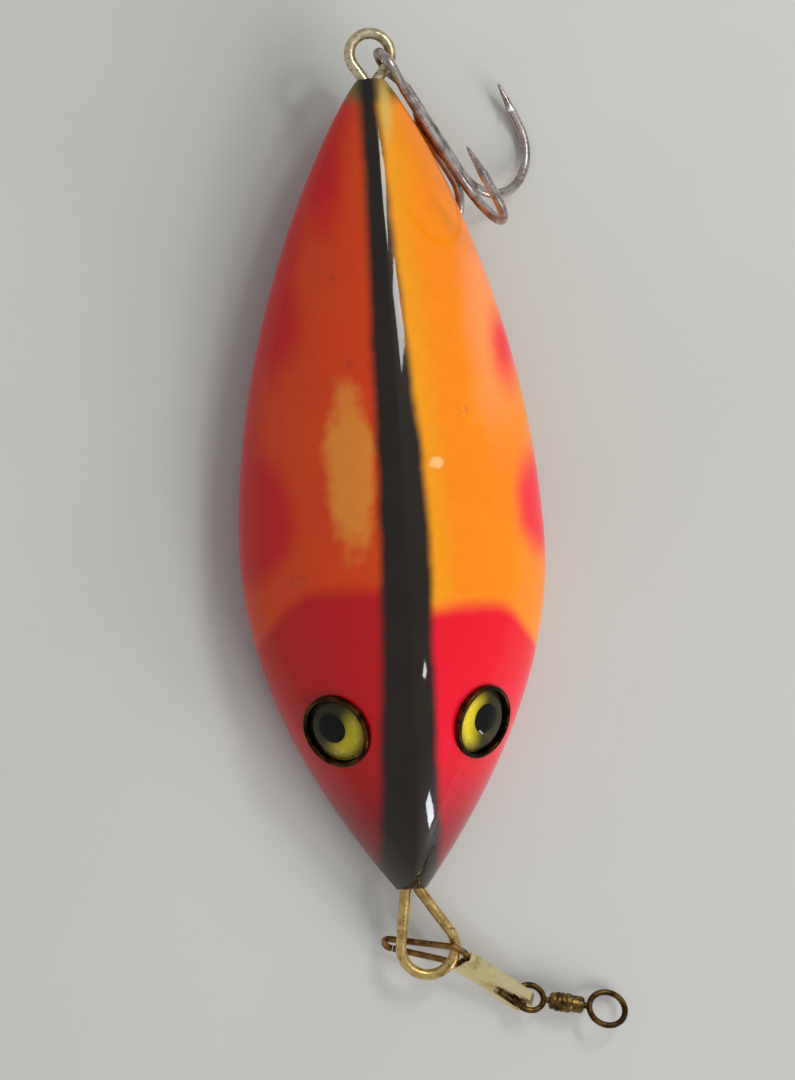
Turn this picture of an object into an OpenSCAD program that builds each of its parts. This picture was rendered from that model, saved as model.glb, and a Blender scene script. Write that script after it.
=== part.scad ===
// Ridge-backed plug lure: a two-shell body with set-in eyes, a line-tie loop carrying a
// snap swivel, and a tail loop carrying a treble hook. Lengths are in millimetres.
// X runs across the body, Y runs from the nose towards the tail, and Z is up. The lure lies
// on its belly, and the origin is the middle of the whole object's box, on the resting plane.

/* [Body] */
// Length of the body from nose to tail
body_length = 73; // [60:1:90]
// Width across the widest edge
body_width = 28; // [24:0.5:32]
// Height of the ridge above the widest edge
ridge_height = 10; // [8:0.5:12]
// Depth of the belly below the widest edge
belly_depth = 4.65; // [4:0.05:6]
// Hollow of the dished belly, as a share of its depth
dish = 0.5; // [0.2:0.05:0.6]
// Wall thickness of the two shells
wall = 1.8; // [1.4:0.1:2.2]
// Rise of the belly at the nose above the resting plane
nose_lift = 1.7; // [1.5:0.1:2.5]
// Rise of the belly at the tail above the resting plane
tail_lift = 6.7; // [6:0.1:8]

/* [Eyes] */
// Radius of each eye cup
eye_radius = 3.4; // [3:0.1:3.6]
// Depth of the socket below the flank
socket_depth = 0.8; // [0.6:0.1:1]
// Height of the clear dome above the flank
dome_height = 1.0; // [0.8:0.1:1.4]
// Radius of the pupil
pupil_radius = 1.35; // [1:0.05:1.6]

/* [Loops] */
// Radius of the brass loop wire
loop_wire = 0.5; // [0.4:0.05:0.55]
// Radius of the line-tie loop to the middle of its wire
nose_loop = 2.5; // [2.3:0.1:2.8]
// Radius of the tail loop to the middle of its wire
tail_loop = 1.85; // [1.8:0.05:1.95]

/* [Snap swivel] */
// Radius of the snap wire
snap_wire_r = 0.3; // [0.25:0.01:0.32]
// Width of the folded lock plate
plate_width = 2.4; // [2.3:0.05:2.6]
// Radius of the swivel barrel
barrel_radius = 0.9; // [0.85:0.05:1.1]
// Radius of the outer swivel ring to the middle of its wire
leader_ring = 1.7; // [1.5:0.05:1.9]

/* [Treble hook] */
// Radius of the hook wire
hook_wire = 0.43; // [0.35:0.01:0.45]
// Distance from the middle of the hook's eye to the bottom of its bends
hook_length = 16.2; // [15:0.1:17]
// Radius of each round bend
bend_radius = 4.6; // [4.2:0.1:4.8]

/* [Hidden] */
$fn = 48;

fit_gap = 0.03;       // room between a wire and the groove that holds it
cut = 1;              // how far a cutting tool runs past the face it cuts
half_width = body_width / 2;

// Outline and profile: s runs from 0 at the nose to 1 at the tail.
widest = 0.42;
outline_power = 1.9;
nose_half = 1.4;
tail_half = 1.25;
tail_taper = 0.9;
belly_flat = [0.26, 0.46];
nose_rise_power = 2.2;
tail_rise_power = 1.7;
end_depth = 1.25;
depth_power = 0.8;
end_height = 1.1;
nose_back_power = 3;
tail_back_power = 2;
nose_back_fall = 0.8;

function run(s) = s < widest ? (widest - s) / widest : (s - widest) / (1 - widest);
function tip_half(s) = s < widest ? nose_half : tail_half;
function body_half(s) = tip_half(s) + (half_width - tip_half(s))
    * pow(1 - pow(run(s), outline_power), s < widest ? 1 : tail_taper);
function fullness(s) = body_half(s) / half_width;
function belly_z(s) = s < belly_flat[0]
    ? nose_lift * pow((belly_flat[0] - s) / belly_flat[0], nose_rise_power)
    : s > belly_flat[1]
        ? tail_lift * pow((s - belly_flat[1]) / (1 - belly_flat[1]), tail_rise_power)
        : 0;
function depth(s) = end_depth + (belly_depth - end_depth) * pow(fullness(s), depth_power);
function edge_z(s) = belly_z(s) + depth(s);
function height(s) = end_height + (ridge_height - end_height)
    * (s < widest
        ? pow(1 - pow(run(s), nose_back_power), nose_back_fall)
        : 1 - pow(run(s), tail_back_power));

// Sections: a runs from 0 at the right edge to 180 at the left edge.
flank_x = 1.48;
flank_z = 1.3;
rim_at = 0.8;
function side(a) = a > 90 ? -1 : 1;
function back_point(s, a) = [
    side(a) * body_half(s) * pow(abs(cos(a)), flank_x),
    s * body_length,
    edge_z(s) + height(s) * pow(sin(a), flank_z)
];
function dished(a) = sin(a) - dish * pow(max(0, 1 - abs(cos(a)) / (rim_at * rim_at)), 2);
dish_norm = max([for (a = [0 : 90]) dished(a)]);
function belly_point(s, a) = [
    side(a) * body_half(s) * sqrt(abs(cos(a))),
    s * body_length,
    edge_z(s) - depth(s) * dished(a) / dish_norm
];

// The hollow fades out towards both ends, where solid blocks hold the loops.
hollow_from = 0.12;
hollow_to = 0.89;
hollow_fade = 0.08;
least_width = 0.3;
function clamp(v) = min(1, max(0, v));
function hollow(s) = clamp((s - hollow_from) / hollow_fade) * clamp((hollow_to - s) / hollow_fade);
function inner_half(s) = max(body_half(s) - wall, least_width * body_half(s));
function inner_back(s, a) = [
    side(a) * inner_half(s) * pow(abs(cos(a)), flank_x),
    s * body_length,
    edge_z(s) + hollow(s) * max(0, height(s) - wall) * pow(sin(a), flank_z)
];
function floor_depth(s) = max(0, depth(s) * dished(90) / dish_norm - wall);
function inner_belly(s, a) = [
    side(a) * inner_half(s) * sqrt(abs(cos(a))),
    s * body_length,
    edge_z(s) - hollow(s) * floor_depth(s) * sin(a)
];

stations = 32;
spokes = 20;
function station(i) = (1 - cos(180 * i / stations)) / 2;
function spoke(k) = 180 * k / spokes;

// One shell as a closed mesh: outer points first, then inner points, station by station.
module shell(outer, inner, flip) {
    row = spokes + 1;
    inner_start = row * (stations + 1);
    points = concat(outer, inner);
    skin = [for (i = [0 : stations - 1], k = [0 : spokes - 1])
        each quad(i * row + k, i * row + k + 1, (i + 1) * row + k + 1, (i + 1) * row + k)];
    lining = [for (i = [0 : stations - 1], k = [0 : spokes - 1])
        each quad(
            inner_start + i * row + k, inner_start + (i + 1) * row + k,
            inner_start + (i + 1) * row + k + 1, inner_start + i * row + k + 1
        )];
    ends = [for (i = [0, stations], k = [0 : spokes - 1])
        each end_quad(i * row + k, inner_start + i * row + k, i == 0, k < spokes / 2)];
    rims = [for (i = [0 : stations - 1], k = [0, spokes])
        each k == 0
            ? quad(i * row, (i + 1) * row, inner_start + (i + 1) * row, inner_start + i * row)
            : quad(
                i * row + k, inner_start + i * row + k,
                inner_start + (i + 1) * row + k, (i + 1) * row + k
            )];
    faces = concat(skin, lining, ends, rims);
    polyhedron(points, flip ? [for (f = faces) [f[2], f[1], f[0]]] : faces);
}
function quad(a, b, c, d) = [[a, b, c], [a, c, d]];
// An end face between the outer and inner rows, split so that neither triangle is flat.
function end_quad(outer, inner, first, right) =
    let (
        parts = right
            ? [[outer, inner, outer + 1], [inner, inner + 1, outer + 1]]
            : [[outer, inner, inner + 1], [outer, inner + 1, outer + 1]]
    )
    first ? parts : [for (t = parts) [t[2], t[1], t[0]]];

// Eye frame: on the flank, with Z along the flank's outward normal.
eye_at = 0.208;
eye_angle = 43.6;
step = 0.5;
function eye_spot(a) = back_point(eye_at, a);
function eye_normal(a) = unit(cross(
    back_point(eye_at, a + step) - back_point(eye_at, a - step),
    back_point(eye_at - step / 100, a) - back_point(eye_at + step / 100, a)
));
module on_flank(left) {
    a = left ? 180 - eye_angle : eye_angle;
    n = eye_normal(a);
    translate(eye_spot(a)) rotate([0, acos(n.z), atan2(n.y, n.x)]) children();
}

cup_floor = 0.3;
cup_wall = 0.45;
cup_lip = 0.4;
lip_round = 0.15;
iris_thick = 0.25;
pupil_thick = 0.15;
iris_radius = eye_radius - cup_wall - 0.05;
iris_z = cup_floor - socket_depth;
pupil_z = iris_z + iris_thick;
dome_z = pupil_z + pupil_thick;
pupil_shift = [0.5, 0.35];
function pupil_spin(left) = left ? 1 : -1;

module eye_cup() {
    color("#6b4a24") rotate_extrude() polygon([
        [0, -socket_depth],
        [eye_radius, -socket_depth],
        [eye_radius, cup_lip - lip_round],
        [eye_radius - lip_round, cup_lip],
        [eye_radius - cup_wall + lip_round, cup_lip],
        [eye_radius - cup_wall, cup_lip - lip_round],
        [eye_radius - cup_wall, iris_z],
        [0, iris_z]
    ]);
}
module eye_iris() {
    color("#d0b42c") translate([0, 0, iris_z]) cylinder(h = iris_thick, r = iris_radius);
}
module eye_pupil(left) {
    color("#0c0c0c") translate([pupil_shift.x, -pupil_spin(left) * pupil_shift.y, pupil_z])
        cylinder(h = pupil_thick, r = pupil_radius);
}
module eye_dome() {
    rise = dome_height - dome_z;
    ball = (iris_radius * iris_radius + rise * rise) / (2 * rise);
    color([0.9, 0.95, 1, 0.35]) intersection() {
        translate([0, 0, dome_height - ball]) sphere(ball);
        translate([0, 0, dome_z]) cylinder(h = rise + cut, r = iris_radius);
    }
}
module eye_sockets() {
    for (left = [false, true])
        on_flank(left) translate([0, 0, -socket_depth])
            cylinder(h = socket_depth + 3 * cut, r = eye_radius + fit_gap);
}

// Wire helpers: paths are flat, and a tube is swept along one with its own radius at each
// point. A burr pushes a point's inner side outwards, which makes the barb of a hook.
wire_sides = 10;
corner_steps = 6;
function unit(v) = v / norm(v);
function corner(a, b, c, r) =
    let (
        u = unit(a - b),
        v = unit(c - b),
        turn = 180 - acos(u * v),
        p = b + u * r * tan(turn / 2),
        q = b + v * r * tan(turn / 2),
        m = b + unit(u + v) * r / cos(turn / 2)
    )
    [for (i = [0 : corner_steps]) m + r * unit((p - m) * (1 - i / corner_steps) + (q - m) * i / corner_steps)];
function rounded(points, r) = concat(
    [points[0]],
    [for (i = [1 : len(points) - 2]) each corner(points[i - 1], points[i], points[i + 1], r)],
    [points[len(points) - 1]]
);
function ring_points(center, ring, from, sweep, steps) =
    [for (i = [0 : steps]) center + ring * [cos(from + sweep * i / steps), sin(from + sweep * i / steps)]];
function heading(path, i) = unit(path[min(i + 1, len(path) - 1)] - path[max(i - 1, 0)]);
function flat(path) = [for (p = path) [p.x, p.y, 0]];
// A section's first point lies to the left of the path, seen with the normal upwards.
function tube_ring(at, along, normal, r, burr) = [
    for (k = [0 : wire_sides - 1])
        let (a = 360 * k / wire_sides, out = r * cos(a) + (k == 0 ? burr : 0))
        at + cross(normal, along) * out + normal * r * sin(a)
];
module tube(path, radii, normals, burrs) {
    last = len(path) - 1;
    rings = [for (i = [0 : last]) each tube_ring(path[i], heading(path, i), normals[i], radii[i], burrs[i])];
    sides = [for (i = [0 : last - 1], k = [0 : wire_sides - 1])
        let (n = (k + 1) % wire_sides)
        each quad(i * wire_sides + k, i * wire_sides + n, (i + 1) * wire_sides + n, (i + 1) * wire_sides + k)];
    caps = [for (k = [1 : wire_sides - 2])
        each [
            [0, k + 1, k],
            [last * wire_sides, last * wire_sides + k, last * wire_sides + k + 1]
        ]];
    polyhedron(rings, concat(sides, caps));
}
module flat_wire(path, r) {
    tube(flat(path), [for (p = path) r], [for (p = path) [0, 0, 1]], [for (p = path) 0]);
}
module rod(from, to, r) {
    v = to - from;
    translate(from) rotate([0, acos(v.z / norm(v)), atan2(v.y, v.x)]) cylinder(h = norm(v), r = r);
}
module torus(ring, r) {
    rotate_extrude() translate([ring, 0]) circle(r);
}

// Loops: one bent wire each, with two legs along the parting face that lock outwards.
leg_spread = 0.55;
leg_depth = 6;
leg_lock = 1.3;
leg_round = 0.7;
loop_steps = 36;
nose_z = edge_z(0);
tail_z = edge_z(1);
nose_center = [1.2, -5.5];
tail_center = [0.1, body_length + 2.35];
function bearing(from, to) = atan2(to.y - from.y, to.x - from.x);
function on_ring(center, ring, a) = center + ring * [cos(a), sin(a)];

// The path is drawn as if the wire left the nose: inward is 1 at the nose and -1 at the tail.
function loop_path(center, ring, exit, inward) =
    let (
        left = [-inward * leg_spread, exit],
        right = [inward * leg_spread, exit],
        from = bearing(center, left) + acos(ring / norm(left - center)),
        to = bearing(center, right) - acos(ring / norm(right - center)) + 360,
        sweep = (to - from) % 360,
        deep = [0, inward * leg_depth],
        lock = [inward * leg_lock, 0],
        start = on_ring(center, ring, from),
        end = on_ring(center, ring, to)
    )
    concat(
        [left + deep - lock],
        corner(left + deep - lock, left + deep, left, leg_round),
        corner(left + deep, left, start, leg_round),
        ring_points(center, ring, from, sweep, loop_steps),
        corner(end, right, right + deep, leg_round),
        corner(right, right + deep, right + deep + lock, leg_round),
        [right + deep + lock]
    );
module line_tie_loop() {
    color("#b8923e") translate([0, 0, nose_z])
        flat_wire(loop_path(nose_center, nose_loop, 0, 1), loop_wire);
}
module tail_loop_wire() {
    color("#a89868") translate([0, 0, tail_z])
        flat_wire(loop_path(tail_center, tail_loop, body_length, -1), loop_wire);
}

// Grooves for the legs and pockets for their locked ends, cut from both shells.
pocket = [leg_lock + 1.4, 1.6, 1.2];
module wire_seat(exit, inward, z) {
    groove = loop_wire + fit_gap;
    for (s = [-1, 1]) {
        rod(
            [s * leg_spread, exit - inward * cut, z],
            [s * leg_spread, exit + inward * (leg_depth - leg_round), z],
            groove
        );
        translate([s * (leg_spread + leg_lock / 2), exit + inward * (leg_depth - 0.1), z])
            cube(pocket, center = true);
    }
}
module wire_seats() {
    wire_seat(0, 1, nose_z);
    wire_seat(body_length, -1, tail_z);
}

// Body
module back_shell() {
    outer = [for (i = [0 : stations], k = [0 : spokes]) back_point(station(i), spoke(k))];
    inner = [for (i = [0 : stations], k = [0 : spokes]) inner_back(station(i), spoke(k))];
    color("#e8881c") difference() {
        shell(outer, inner, false);
        eye_sockets();
        wire_seats();
    }
}
module belly_shell() {
    outer = [for (i = [0 : stations], k = [0 : spokes]) belly_point(station(i), spoke(k))];
    inner = [for (i = [0 : stations], k = [0 : spokes]) inner_belly(station(i), spoke(k))];
    color("#e0701c") difference() {
        shell(outer, inner, true);
        wire_seats();
    }
}
weight_radius = 2.2;
weight_run = [0.27, 0.46];
module keel_weight() {
    floor_z = max([for (s = [weight_run[0] : 0.02 : weight_run[1]]) edge_z(s) - floor_depth(s)]);
    ends = [for (s = weight_run) [0, s * body_length, floor_z + weight_radius + fit_gap]];
    color("#6e7074") {
        rod(ends[0], ends[1], weight_radius);
        for (p = ends) translate(p) sphere(weight_radius);
    }
}

// Snap frame: X along the lock plate towards the swivel, Y across the hairpin in its own
// plane, Z out of that plane. The origin is where the legs straddle the line-tie loop.
snap_bearing = -38;
snap_fall = 13;
snap_roll = 50;
snap_cross = [each on_ring(nose_center, nose_loop, -20), nose_z];
module in_snap() {
    translate(snap_cross) rotate([0, snap_fall, snap_bearing]) rotate([snap_roll, 0, 0]) children();
}
// The hairpin's front end, seen along its own slanted middle line.
front_at = [-5.0, -4.3];
front_bearing = 34.5;
front_half = 0.65;
front_along = [cos(front_bearing), sin(front_bearing)];
front_across = [-sin(front_bearing), cos(front_bearing)];
front_upper = front_at + front_half * front_across;
front_lower = front_at - front_half * front_across;
latch_from = front_lower + 0.75 * front_along;
rear_x = 8.35;
rear_half = 0.68;
bend_round = 0.6;
snap_path = rounded([
    [6.2, -rear_half],
    [rear_x, -rear_half],
    [rear_x, rear_half],
    [1, rear_half],
    [0.4, 1.12],
    [-0.75, 0.95],
    front_upper,
    front_lower,
    latch_from
], bend_round);
latch_elbow = [0.6, -1.05];
latch_gap = 0.08;
latch_start = latch_from + latch_gap * unit(latch_elbow - latch_from);
latch_path = rounded([latch_start, latch_elbow, [1.7, -0.85], [3.4, -0.45]], bend_round);

module snap_wire() {
    color("#9a7a34") in_snap() flat_wire(snap_path, snap_wire_r);
}
module snap_latch() {
    color("#9a7a34") in_snap() flat_wire(latch_path, snap_wire_r);
}

plate_from = 1.05;
plate_to = 9.2;
plate_half = 0.52;
sheet = 0.18;
window_from = 5.9;
window_to = 7.9;
window_half = 0.78;
slot_to = 4.2;
module plate_outline(inset) {
    corner = plate_width / 2 - inset;
    translate([plate_from + (inset > 0 ? -cut : 0), -corner])
        square([plate_to - inset - corner - plate_from + (inset > 0 ? cut : 0), 2 * corner]);
    translate([plate_to - inset - corner, 0]) circle(corner);
}
module snap_lock_plate() {
    color("#cdb878") in_snap() difference() {
        translate([0, 0, -plate_half]) linear_extrude(2 * plate_half) plate_outline(0);
        translate([0, 0, sheet - plate_half])
            linear_extrude(2 * (plate_half - sheet)) plate_outline(sheet);
        for (x = [window_from, window_to])
            translate([x, 0, -plate_half - cut]) cylinder(h = 2 * (plate_half + cut), r = window_half);
        translate([window_from, -window_half, -plate_half - cut])
            cube([window_to - window_from, 2 * window_half, 2 * (plate_half + cut)]);
        translate([plate_from - cut, -plate_width / 2 - cut, sheet - plate_half])
            cube([slot_to - plate_from + cut, cut + sheet * 2, 2 * (plate_half - sheet)]);
    }
}

// Swivel frame: X along the barrel, Z along the normal of both rings. The origin is where the
// inner ring's wire passes through the window of the lock plate.
swivel_bearing = -12.5;
swivel_roll = -37;
swivel_hinge = 7.45;
function turn_x(p, a) = [p.x, p.y * cos(a) - p.z * sin(a), p.y * sin(a) + p.z * cos(a)];
function turn_y(p, a) = [p.x * cos(a) + p.z * sin(a), p.y, -p.x * sin(a) + p.z * cos(a)];
function turn_z(p, a) = [p.x * cos(a) - p.y * sin(a), p.x * sin(a) + p.y * cos(a), p.z];
function from_snap(p) = snap_cross + turn_z(turn_y(turn_x(p, snap_roll), snap_fall), snap_bearing);
swivel_at = from_snap([swivel_hinge, 0, 0]);
module in_swivel() {
    translate(swivel_at) rotate([0, 0, swivel_bearing]) rotate([swivel_roll, 0, 0]) children();
}
inner_ring = 1.3;
ring_wire = 0.28;
neck = 0.3;
stem_radius = 0.3;
barrel_length = 3.2;
barrel_wall = 0.3;
end_wall = 0.35;
head_radius = 0.5;
head_thick = 0.35;
turn_gap = 0.05;
barrel_from = 2 * inner_ring + ring_wire + neck;
barrel_to = barrel_from + barrel_length;
leader_at = barrel_to + neck + ring_wire + leader_ring;
land_half = 0.2;
land_radius = leader_ring - sqrt(ring_wire * ring_wire - land_half * land_half);

module swivel_inner_eye() {
    head = barrel_from + end_wall + turn_gap;
    color("#7a5c30") in_swivel() {
        translate([inner_ring, 0, 0]) torus(inner_ring, ring_wire);
        rod([2 * inner_ring, 0, 0], [head, 0, 0], stem_radius);
        rod([head, 0, 0], [head + head_thick, 0, 0], head_radius);
    }
}
module swivel_outer_eye() {
    head = barrel_to - end_wall - turn_gap;
    color("#7a5c30") in_swivel() difference() {
        union() {
            translate([leader_at, 0, 0]) torus(leader_ring, ring_wire);
            rod([head, 0, 0], [leader_at - leader_ring, 0, 0], stem_radius);
            rod([head - head_thick, 0, 0], [head, 0, 0], head_radius);
        }
        translate([leader_at, 0, -cut]) cylinder(h = 2 * cut, r = land_radius);
    }
}
module swivel_barrel() {
    hole = stem_radius + turn_gap;
    inner = barrel_radius - barrel_wall;
    waist = barrel_radius - 0.12;
    color("#5c4426") in_swivel() rotate([0, 90, 0]) translate([0, 0, barrel_from])
        rotate_extrude() polygon([
            [hole, 0],
            [waist - 0.15, 0],
            [waist, 0.15],
            [waist, 0.5],
            [barrel_radius, 0.65],
            [barrel_radius, barrel_length - 1.3],
            [waist, barrel_length - 1.15],
            [waist, barrel_length - 0.15],
            [waist - 0.15, barrel_length],
            [hole, barrel_length],
            [hole, barrel_length - end_wall],
            [inner, barrel_length - end_wall],
            [inner, end_wall],
            [hole, end_wall]
        ]);
}

// Treble frame: X along the shank, Z up in the shank's vertical plane, origin at the hook eye.
treble_bearing = -57.5;
treble_fall = 14;
treble_on_ring = -36;
hook_eye = 1.5;
eye_slack = 0.1;
treble_at = [each on_ring(tail_center, tail_loop, treble_on_ring), tail_z]
    + turn_z(turn_y([eye_slack, 0, 0], treble_fall), treble_bearing);
module in_treble() {
    translate(treble_at) rotate([0, treble_fall, treble_bearing]) children();
}
bundle = 1.18 * hook_wire;
shank_from = 2.6;
shank_to = hook_length - bend_radius;
bend_sweep = 172;
bend_steps = 20;
point_length = 4.4;
// Distance from each section of the point leg to the tip, with its radius and its burr.
point_cuts = [
    [2.9, 1, 0], [2.85, 0.95, 0.42], [2.2, 0.75, 0], [1.2, 0.6, 0], [0.5, 0.35, 0], [0.12, 0.12, 0]
];
hook_top = [shank_to, bundle + bend_radius];
leg_end = on_ring(hook_top, bend_radius, bend_sweep - 90);
leg_along = [cos(bend_sweep), sin(bend_sweep)];
hook_path = concat(
    [[shank_from, bundle]],
    ring_points(hook_top, bend_radius, -90, bend_sweep, bend_steps),
    [for (c = point_cuts) leg_end + leg_along * (point_length - c[0])]
);
plain = len(hook_path) - len(point_cuts);
hook_radii = concat([for (i = [1 : plain]) hook_wire], [for (c = point_cuts) hook_wire * c[1]]);
hook_burrs = concat([for (i = [1 : plain]) 0], [for (c = point_cuts) c[2]]);
function rolled(path, roll) = [for (p = path) [p.x, p.y * cos(roll), p.y * sin(roll)]];
function roll_normal(roll) = [0, -sin(roll), cos(roll)];
function same(value, count) = [for (i = [1 : count]) value];
function reversed(list) = [for (i = [len(list) - 1 : -1 : 0]) list[i]];

// The double hook is one wire: down one arm, round the upright eye, and out along the other
// arm. The single hook is brazed beside them and starts lower on the shank.
up_roll = 90;
right_roll = -30;
single_roll = -150;
single_drop = 2.2;
eye_from = acos(hook_eye / norm([shank_from, bundle])) + atan(bundle / shank_from);
eye_steps = 24;
eye_ring = ring_points([0, 0], hook_eye, eye_from, 360 - 2 * eye_from, eye_steps);
eye_path = [for (p = eye_ring) [p.x, 0, p.y]];
module treble_double_hook() {
    arm = len(hook_path);
    color("#5a5048") in_treble() tube(
        concat(reversed(rolled(hook_path, up_roll)), eye_path, rolled(hook_path, right_roll)),
        concat(reversed(hook_radii), same(hook_wire, len(eye_path)), hook_radii),
        concat(
            same(-roll_normal(up_roll), arm),
            same([0, 1, 0], len(eye_path)),
            same(roll_normal(right_roll), arm)
        ),
        concat(reversed(hook_burrs), same(0, len(eye_path)), hook_burrs)
    );
}
module treble_single_hook() {
    path = concat([[shank_from + single_drop, bundle]], [for (i = [1 : len(hook_path) - 1]) hook_path[i]]);
    color("#4e463e") in_treble() tube(
        rolled(path, single_roll),
        hook_radii,
        same(roll_normal(single_roll), len(path)),
        hook_burrs
    );
}

module eye_part(left, kind) {
    on_flank(left) {
        if (kind == "cup") eye_cup();
        if (kind == "iris") eye_iris();
        if (kind == "pupil") eye_pupil(left);
        if (kind == "dome") eye_dome();
    }
}

// Moves the body frame so that the origin is the middle of the whole object's box, which runs
// from the body's left edge and the outer swivel ring to the end of the tail loop.
function from_swivel(p) = swivel_at + turn_z(turn_x(p, swivel_roll), swivel_bearing);
ring_center = from_swivel([leader_at, 0, 0]);
ring_normal = turn_z(turn_x([0, 0, 1], swivel_roll), swivel_bearing);
function ring_reach(n) = leader_ring * sqrt(1 - n * n) + ring_wire;
body_side = max([for (i = [0 : stations]) body_half(station(i))]);
box_x = (ring_center.x + ring_reach(ring_normal.x) - body_side) / 2;
box_y = (ring_center.y - ring_reach(ring_normal.y) + tail_center.y + tail_loop + loop_wire) / 2;
module place() {
    translate([-box_x, -box_y, 0]) children();
}

place() back_shell();
place() belly_shell();
place() keel_weight();
place() eye_part(true, "cup");  // left_eye_cup
place() eye_part(true, "iris");  // left_eye_iris
place() eye_part(true, "pupil");  // left_eye_pupil
place() eye_part(true, "dome");  // left_eye_dome
place() eye_part(false, "cup");  // right_eye_cup
place() eye_part(false, "iris");  // right_eye_iris
place() eye_part(false, "pupil");  // right_eye_pupil
place() eye_part(false, "dome");  // right_eye_dome
place() line_tie_loop();
place() tail_loop_wire();  // tail_loop
place() snap_wire();
place() snap_latch();
place() snap_lock_plate();
place() swivel_inner_eye();
place() swivel_barrel();
place() swivel_outer_eye();
place() treble_double_hook();
place() treble_single_hook();
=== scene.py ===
import math

import bpy
import numpy as np
from mathutils import Matrix, Vector


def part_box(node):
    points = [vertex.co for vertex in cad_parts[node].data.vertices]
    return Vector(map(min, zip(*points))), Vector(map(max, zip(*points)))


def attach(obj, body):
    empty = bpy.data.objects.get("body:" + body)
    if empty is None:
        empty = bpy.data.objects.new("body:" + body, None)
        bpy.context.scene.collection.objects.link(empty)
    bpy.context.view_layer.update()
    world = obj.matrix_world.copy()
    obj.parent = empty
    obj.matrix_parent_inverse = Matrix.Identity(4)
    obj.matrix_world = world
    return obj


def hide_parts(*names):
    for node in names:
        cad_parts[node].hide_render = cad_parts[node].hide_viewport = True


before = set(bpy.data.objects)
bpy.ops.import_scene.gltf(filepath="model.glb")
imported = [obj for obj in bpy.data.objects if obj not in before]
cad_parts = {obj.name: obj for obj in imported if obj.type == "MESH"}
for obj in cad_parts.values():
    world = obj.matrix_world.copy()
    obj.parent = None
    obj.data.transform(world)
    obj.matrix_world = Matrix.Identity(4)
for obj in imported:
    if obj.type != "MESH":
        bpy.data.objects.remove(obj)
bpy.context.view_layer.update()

# Body frame: nose at y = 0, middle of the body at x = 0, in millimetres.
low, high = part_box("back_shell")
OFFSET = np.array([(low[0] + high[0]) / 2 * 1000, low[1] * 1000, 0.0])


def unit(v):
    v = np.asarray(v, float)
    return v / np.linalg.norm(v)


def add(name, verts, faces, material, body=None, stands_for=(), smooth=40, attributes=None):
    """Makes a mesh piece from points in millimetres in the body frame."""
    verts = (np.asarray(verts, float) + OFFSET) / 1000
    if not np.isfinite(verts).all():
        raise ValueError(f"{name} has vertices that are not numbers")
    mesh = bpy.data.meshes.new(name)
    mesh.from_pydata(verts.tolist(), [], [list(map(int, f)) for f in faces])
    mesh.update()
    for key, values in (attributes or {}).items():
        layer = mesh.attributes.new(key, "FLOAT", "POINT")
        layer.data.foreach_set("value", np.asarray(values, np.float32))
    mesh.polygons.foreach_set("use_smooth", [True] * len(mesh.polygons))
    mesh.set_sharp_from_angle(angle=math.radians(smooth))
    mesh.materials.append(material)
    obj = bpy.data.objects.new(name, mesh)
    bpy.context.scene.collection.objects.link(obj)
    if body:
        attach(obj, body)
    if stands_for:
        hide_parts(*stands_for)
    return obj


# ---------------------------------------------------------------- body shape
LENGTH, HALF, RIDGE, BELLY, DISH = 73.0, 13.97, 10.0, 4.65, 0.5
NOSE_LIFT, TAIL_LIFT, WIDEST = 1.7, 6.7, 0.42
NOSE_HALF, TAIL_HALF = 1.4, 1.25


def body_half(s):
    run = np.where(s < WIDEST, (WIDEST - s) / WIDEST, (s - WIDEST) / (1 - WIDEST))
    tip = np.where(s < WIDEST, NOSE_HALF, TAIL_HALF)
    fall = np.clip(1 - run ** 1.9, 0, 1) ** np.where(s < WIDEST, 1.0, 0.9)
    return tip + (HALF - tip) * fall


def belly_z(s):
    nose = NOSE_LIFT * (np.clip(0.26 - s, 0, 1) / 0.26) ** 2.2
    tail = TAIL_LIFT * (np.clip(s - 0.46, 0, 1) / 0.54) ** 1.7
    return nose + tail


def depth(s):
    return 1.25 + (BELLY - 1.25) * (body_half(s) / HALF) ** 0.8


def edge_z(s):
    return belly_z(s) + depth(s)


def height(s):
    run = np.where(s < WIDEST, (WIDEST - s) / WIDEST, (s - WIDEST) / (1 - WIDEST))
    fall = np.where(s < WIDEST, np.clip(1 - run ** 3, 0, 1) ** 0.8, 1 - run ** 2)
    return 1.1 + (RIDGE - 1.1) * fall


def back_point(s, a):
    c, d = np.cos(a), np.clip(np.sin(a), 0, 1)
    return np.stack([
        np.sign(c) * body_half(s) * np.abs(c) ** 1.48,
        s * LENGTH + 0 * a,
        edge_z(s) + height(s) * d ** 1.3,
    ], -1)


def dished(a):
    return np.sin(a) - DISH * np.clip(1 - np.abs(np.cos(a)) / 0.64, 0, 1) ** 2


DISH_NORM = dished(np.linspace(0, math.pi / 2, 91)).max()


def belly_point(s, a):
    c = np.cos(a)
    return np.stack([
        np.sign(c) * body_half(s) * np.sqrt(np.abs(c)),
        s * LENGTH + 0 * a,
        edge_z(s) - depth(s) * np.clip(dished(a), 0, 2) / DISH_NORM,
    ], -1)


# Eye frames
EYE_AT, EYE_ANGLE, EYE_RADIUS = 0.208, math.radians(43.6), 3.4
SOCKET, CUP_WALL, CUP_LIP, IRIS_R, IRIS_FACE = 0.8, 0.45, 0.4, 2.9, -0.25


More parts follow.
